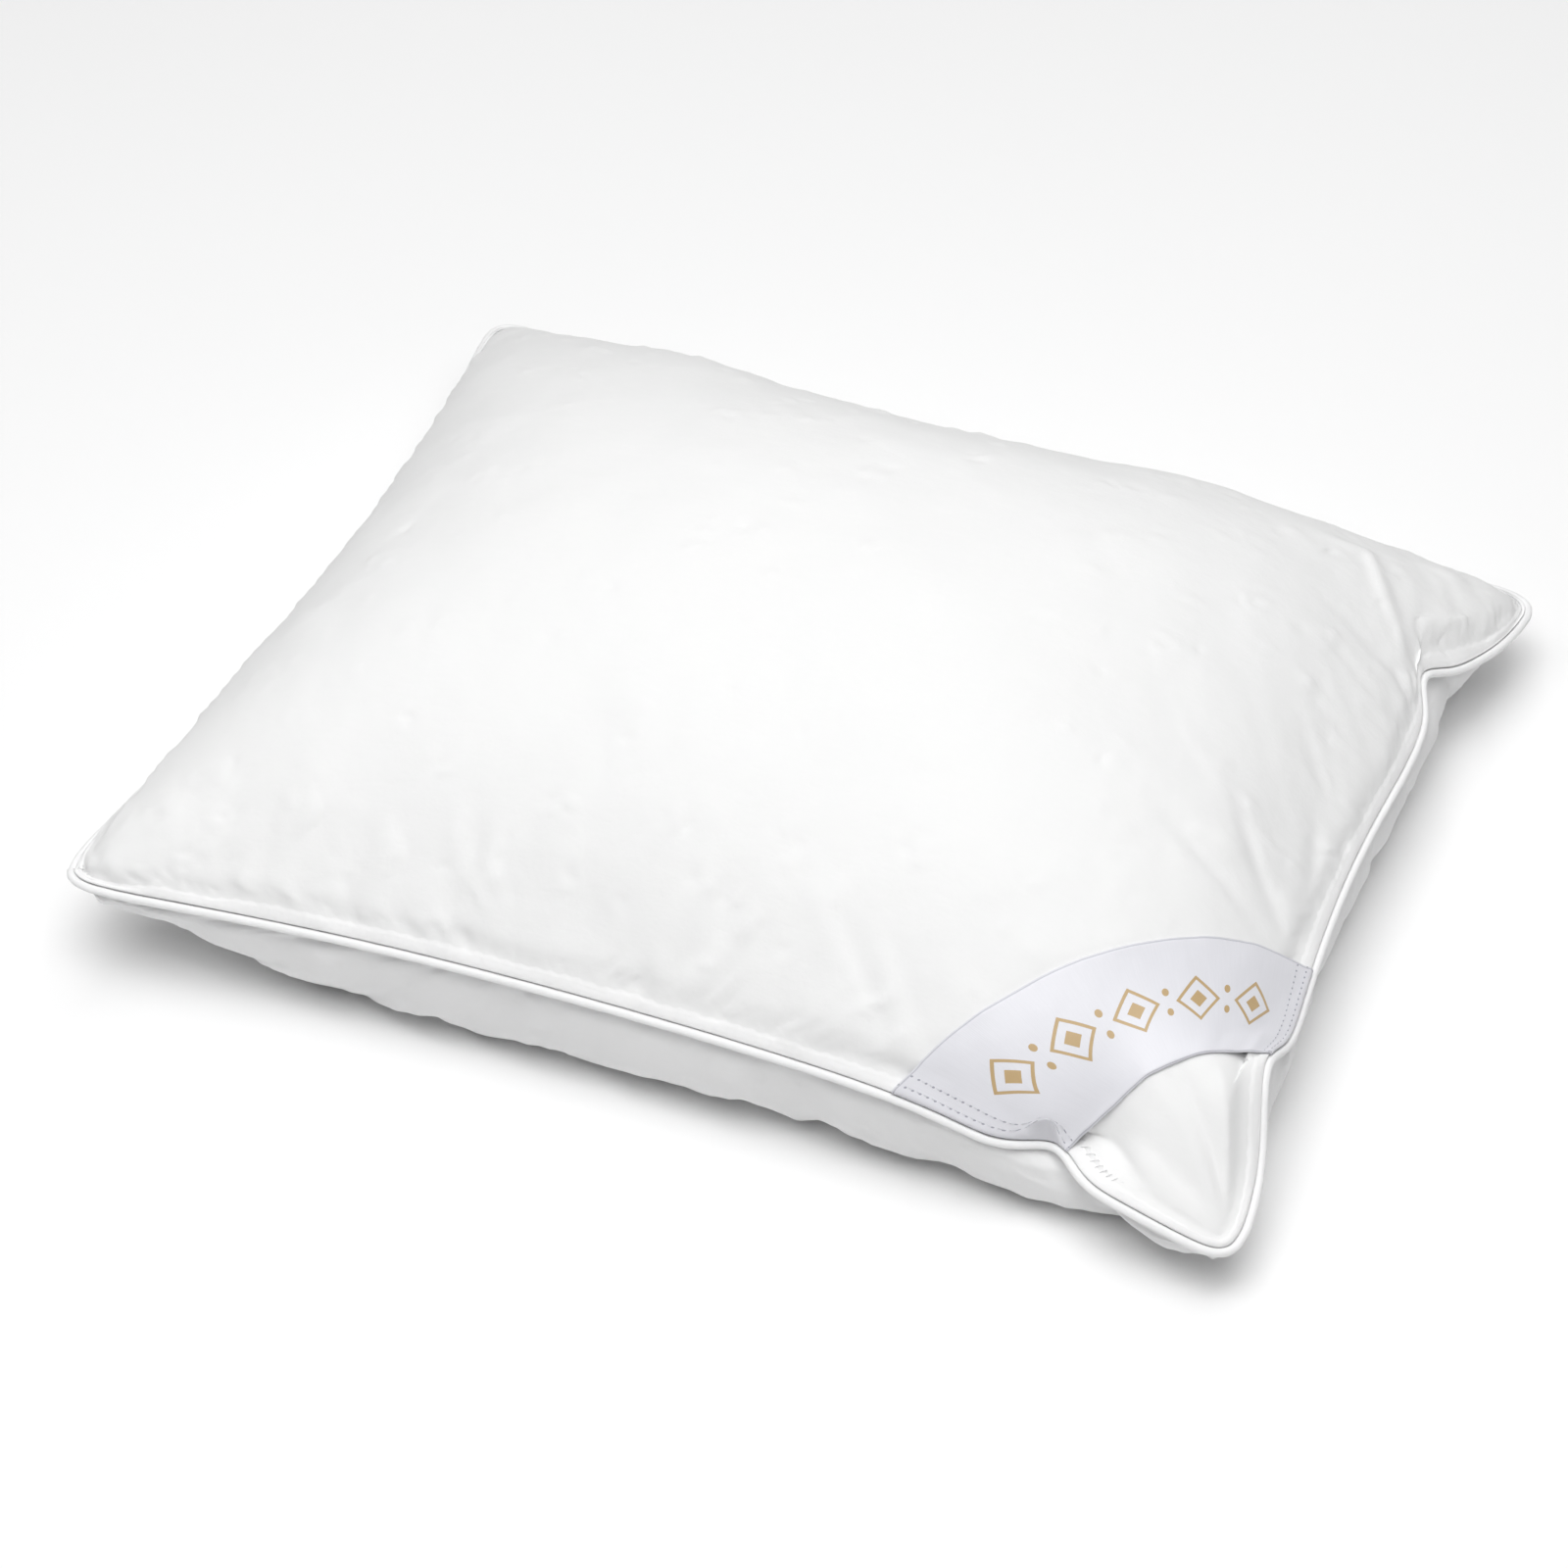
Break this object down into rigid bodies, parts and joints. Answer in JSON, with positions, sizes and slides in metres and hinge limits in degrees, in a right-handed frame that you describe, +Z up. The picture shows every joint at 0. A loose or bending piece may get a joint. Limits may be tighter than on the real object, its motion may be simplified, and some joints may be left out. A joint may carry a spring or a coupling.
{
  "type": "bed pillow",
  "caption": "Filled bed pillow: two cloth panels joined by a corded piping round the edge, with a plain satin band sewn across one corner.",
  "frame": {"origin": "on the resting surface, under the middle of the pillow's outline", "axes": "+X along the long side, +Y towards the back long side, +Z up; the label band is at the +X, -Y corner"},
  "size_m": [0.5763, 0.4871, 0.166],
  "materials": {
    "cambric": "plain-woven down-proof cotton cambric, matt with a faint sheen",
    "cambric_underside": "plain-woven down-proof cotton cambric, matt with a faint sheen",
    "down": "loose white down and feathers",
    "cord": "soft twisted cotton filler cord",
    "piping": "smooth cotton bias strip",
    "thread": "spun polyester sewing thread",
    "satin": "satin ribbon with a soft sheen",
    "label_thread": "spun polyester sewing thread",
    "care_satin": "thin white satin tape"
  },
  "bodies": {
    "root": {"top_panel": "cambric", "bottom_panel": "cambric_underside", "down_fill": "down", "piping_cord": "cord", "piping_sleeve": "piping", "seam_stitching": "thread", "overlock_stitching": "thread", "closing_stitching": "thread", "label_strip": "satin", "label_stitching_front": "label_thread", "label_stitching_side": "label_thread", "care_label": "care_satin"}
  },
  "joints": []
}
